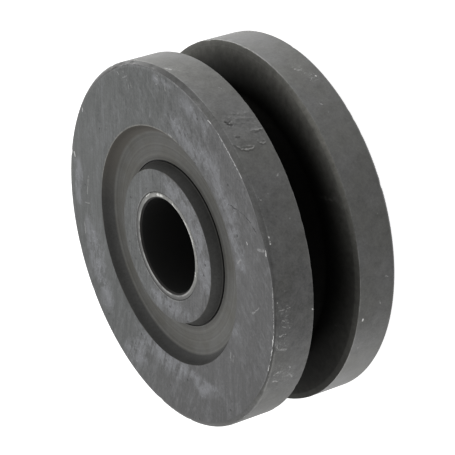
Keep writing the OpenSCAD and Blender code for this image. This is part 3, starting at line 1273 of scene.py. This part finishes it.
def tread_steel():
    material, shader, place = new_material("blackened_tread")
    mottled = place.cloud(2.6, 5.0, 0.68)
    grain = place.cloud(0.6, 3.0, 0.7)
    colour = tread_skin(place, mottled, grain)
    colour = with_tread_borders(place, colour, mottled)
    colour = with_torn_metal(place, colour, mottled)

    ragged = place.wobbled(1.3, 1.3)
    chips = ragged.near(TREAD_CHIPS).rise(0.6, 1.1, 1.0, 0.0) * grain.rise(0.3, 0.44)
    scratches = ragged.near(TREAD_SCRATCHES).rise(0.4, 1.3, 1.0, 0.0)
    scratches = scratches * grain.rise(0.38, 0.54, 0.08, 0.72)
    scuffs = place.wobbled(3.0, 2.5).near(SCUFFED).rise(0.2, 1.3, 1.0, 0.0)
    scuffs = scuffs * place.cloud(0.7, 4.0, 0.8).rise(0.54, 0.64) * 0.42
    scratches = scratches.higher(scuffs)
    flecks = place.moved((2, 2, 2)).specks(2.4, 0.3, 0.12) * on_edge(place.below_end())
    dark_specks = place.moved((8, 4, 1)).specks(3.4, 0.34, 0.3)
    pale_specks = place.moved((5, 2, 8)).specks(4.0, 0.34, 0.3)
    colour = (dark_specks * 0.4).blend(colour, TREAD_SPECK_DARK)
    colour = (pale_specks * 0.35).blend(colour, TREAD_SPECK_PALE)
    colour = scratches.blend(colour, TREAD_SCRATCHED)
    colour = chips.higher(flecks * 0.6).blend(colour, TREAD_CHIPPED)

    height = mottled + grain * 0.6 - dark_specks - (chips + scratches) * 1.2
    roughness = 0.53 + mottled * 0.1 - chips * 0.15
    close_material(place, shader, colour, roughness, 0.8, height, 0.4)
    return material


tread_finish = tread_steel()
print("%s: %d nodes" % (tread_finish.name, len(tread_finish.node_tree.nodes)))

# %% [markdown]
# ## The dark groove
#
# Nothing rubs the bottom of the groove, and little light gets there. Metal at such a flat
# angle still mirrors the white room and would show a bright ring. So the steel loses its
# metal towards the root, where painted shade makes it black and dull, and towards the lip it
# gains metal, a dusty tone and painted light, more on one side of the wheel than the other.
# A power of the share of the way up gives that slow start.

# %% Black groove
GROOVE_START = GROOVE_R + 0.5
GROOVE_TINT, LIP_WORN, SMEAR_GREY = (1.0, 0.99, 0.91), (0.26, 0.26, 0.25), (0.2, 0.2, 0.19)


def groove_steel():
    material, shader, place = new_material("groove_black")
    y, r = place.part(1), place.from_axis()
    mottled = place.cloud(2.0, 5.0, 0.7)
    share = ((r - GROOVE_START) / (TREAD_R - GROOVE_START)).higher(0.0)
    lip = r.rise(lip_r - 0.4, lip_r + 0.4)
    # A dusty tone with painted light, lighter on one side of the wheel
    dust_and_side_light = y.rise(-26, 14, 0.06, 1.0) * y.rise(22, 46, 1.0, 0.45)
    power = 2.2 + y.rise(-14, 0) * y.rise(6, 20, 0.4, 0.0) - y.rise(-40, -16, 0.8, 0.0)
    # Painted shade: the groove darkens towards its root and on one side of the wheel
    level = share ** power * (0.062 + dust_and_side_light * 0.3) * (1 - lip * y.rise(15, 40, 0.15, 0.5))
    level = (0.0042 + level) * (0.4 + mottled * 1.2) * y.rise(-48, -34, 0.45, 1.0) + lip * 0.01
    specks = place.moved((1, 8, 2)).specks(4.0, 0.24, 0.25) * 0.04
    colour = place.grey(level + specks, GROOVE_TINT)
    smears = place.wobbled(1.5, 1.0).near(SMEARS).rise(0.2, 1.3, 1.0, 0.0)
    smears = smears * mottled.rise(0.35, 0.6)
    colour = (smears * 0.5).blend(colour, SMEAR_GREY)
    worn_lip = r.rise(TREAD_R - 0.25, TREAD_R - 0.1) * y.rise(-20, 5)
    worn_lip = worn_lip * mottled.rise(0.4, 0.6, 0.1, 0.8)
    colour = worn_lip.blend(colour, LIP_WORN)
    close_material(place, shader, colour, 0.6, share.rise(0.04, 0.32, 0.0, 0.6), mottled, 0.3)
    shader.inputs["Specular IOR Level"].default_value = 0.0
    return material


groove_finish = groove_steel()
print("%s: %d nodes" % (groove_finish.name, len(groove_finish.node_tree.nodes)))

# %% [markdown]
# ## Each finish on its faces
#
# One material could hold all four finishes behind masks, but then every ray would work out
# all of them. Faces with a material of their own are quicker, and the borders are as crisp as
# the corners of the steel. The tread's finish fills the first slot, so it is on every face
# to begin with. The others are then given to faces that are picked by radius and depth.

# %% Materials onto their faces
SLACK = 0.01
NICK_SLACK = 0.15


def in_end_face(angle, r, depth):
    """Flat end faces, also where a nick has pulled a corner of the face down."""
    slack = NICK_SLACK if RECESS_R + 0.2 < r < TREAD_R - 1.6 else SLACK
    return min(depth, WIDTH - depth) < slack and r > SEAT_R + 0.1


def in_recess(angle, r, depth):
    return SLACK < min(depth, WIDTH - depth) < RECESS_DEPTH + 1 and SEAT_R + 0.1 < r < RECESS_R


def in_groove(angle, r, depth):
    return abs(depth - MIDDLE) < MIDDLE - mouth_depth and r > GROOVE_R - 1


for finish in (tread_finish, face_finish, recess_finish, groove_finish):
    wheel.data.materials.append(finish)
bpy.ops.object.select_all(action="DESELECT")
wheel.select_set(True)
bpy.context.view_layer.objects.active = wheel
for slot_index, wanted in enumerate((in_end_face, in_recess, in_groove), start=1):
    count = select_faces(wheel, wanted)
    wheel.active_material_index = slot_index
    bpy.ops.object.material_slot_assign()
    print("%s on %d faces" % (wheel.data.materials[slot_index].name, count))
bpy.ops.object.mode_set(mode="OBJECT")
bpy.ops.object.shade_smooth_by_angle(angle=math.radians(25))

# %% [markdown]
# ## The bush
#
# The bush is a thin tube of bright steel, pressed in until it is level with the hub. A tube
# could be a cylinder with a Solidify modifier, but the bevels inside and outside differ, so
# it is turned like the wheel. The outer bevel leaves a fine dark line where it meets the hub.

# %% Bush
MOUTH_REACH, MOUTH_DEPTH = 0.55, 0.5
BUSH_STEPS = 240

bush_section = [
    (SEAT_R, MIDDLE, 0),
    (SEAT_R, BUSH_INSET + SEAT_BEVEL, 0.04),
    (SEAT_R - SEAT_BEVEL, BUSH_INSET, 0.04),
    (BORE_R + MOUTH_REACH, BUSH_INSET, 0.12),
    (BORE_R, BUSH_INSET + MOUTH_DEPTH, 0.2),
    (BORE_R, MIDDLE, 0),
]
bush = turned("steel_bush", rounded(bush_section, LONGEST_RUN), BUSH_STEPS)
print("bush: %d faces" % len(bush.data.polygons))

# %% [markdown]
# ## The bright end ring
#
# Only the end ring of the bush is bright, and even that unevenly. On one side it is lighter,
# with painted highlights nearly white in places, and on the other it is dark with a thin broken
# line along the bore. Its bevels and the bore get painted shade, near black, and the bore is
# dull. Depth below the end tells ring from bore, so one material does for the whole bush.

# %% Bush finish
BRIGHT_RING = [
    (at(76, 14.4, 0.1), at(66, 14.4, 0.1), 0.45),
    (at(101, 14.8, 0.1), at(92, 14.8, 0.1), 0.25),
    (at(46, 14.1, 0.1), at(18, 14.1, 0.1), 0.30),
    (at(18, 14.1, 0.1), at(-4, 14.2, 0.1), 0.36),
    (at(-4, 14.2, 0.1), at(-44, 14.1, 0.1), 0.30),
]
RING_DARK, RING_DASH = (0.14, 0.14, 0.138), (0.40, 0.40, 0.39)
RING_DULL, RING_LIGHTER = (0.23, 0.23, 0.22), (0.35, 0.35, 0.335)
RING_SHADOW, RING_HIGHLIGHT = (0.12, 0.12, 0.118), (0.78, 0.78, 0.75)
BEVEL_SHADE, BORE_SHADE = (0.020, 0.019, 0.018), (0.021, 0.021, 0.0205)


def end_ring(place, fine):
    """The end ring: a lighter side, a dark side and painted highlights."""
    x, y, r = place.part(0), place.part(1), place.from_axis()
    wide = place.cloud(3.5, 3.0, 0.6)
    lighter_side = (x * 0.9 + y * 0.5).rise(-10, 10)
    inner = r.rise(BORE_R + 0.75, BORE_R + 1.1, 1.0, 0.0)
    dashes = (inner * wide.rise(0.4, 0.6, 0.25, 1.0)).blend(RING_DARK, RING_DASH)
    lighter_ring = wide.rise(0.3, 0.7).blend(RING_DULL, RING_LIGHTER)
    ring = lighter_side.blend(dashes, lighter_ring).shade(0.6 + fine * 0.8)
    outer = r.rise(SEAT_R - 0.5, SEAT_R - 0.2) * lighter_side
    ring = (outer * fine.rise(0.44, 0.6, 0.85, 0.1)).blend(ring, RING_SHADOW)
    # Painted highlights, nearly white, along stretches of the ring
    ring_highlights = place.wobbled(1.2, 0.8).near(BRIGHT_RING).rise(0.4, 1.1, 1.0, 0.0)
    return (ring_highlights * fine.rise(0.38, 0.52)).blend(ring, RING_HIGHLIGHT)


def bush_steel():
    material, shader, place = new_material("bright_bush_steel")
    depth = place.below_end()
    fine = place.cloud(0.7, 4.0, 0.7)
    on_ring = depth.rise(BUSH_INSET + 0.03, BUSH_INSET + 0.14, 1.0, 0.0)
    inside = depth.rise(BUSH_INSET + 0.3, BUSH_INSET + 0.7)
    # Painted shade: the bevels and the bore are near black
    colour = on_ring.blend(BEVEL_SHADE, end_ring(place, fine))
    colour = inside.blend(colour, BORE_SHADE)
    roughness, metallic = 0.34 + fine * 0.24, 0.9 - inside * 0.7
    close_material(place, shader, colour, roughness, metallic, fine, 0.3)
    return material


bush.data.materials.append(bush_steel())
bpy.ops.object.select_all(action="DESELECT")
bush.select_set(True)
bpy.context.view_layer.objects.active = bush
bpy.ops.object.shade_smooth_by_angle(angle=math.radians(35))
print("bush finish:", bush.data.materials[0].name)

# %% [markdown]
# ## Handing the pieces over
#
# Each piece rides on the wheel's only body and stands for the solid of the same shape, which is
# hidden.

# %% Ride and replace
for piece, node, slot in ((wheel, "wheel_body", "scaled_steel"), (bush, "bush", "bush_steel")):
    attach(piece, "root")
    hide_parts(node)
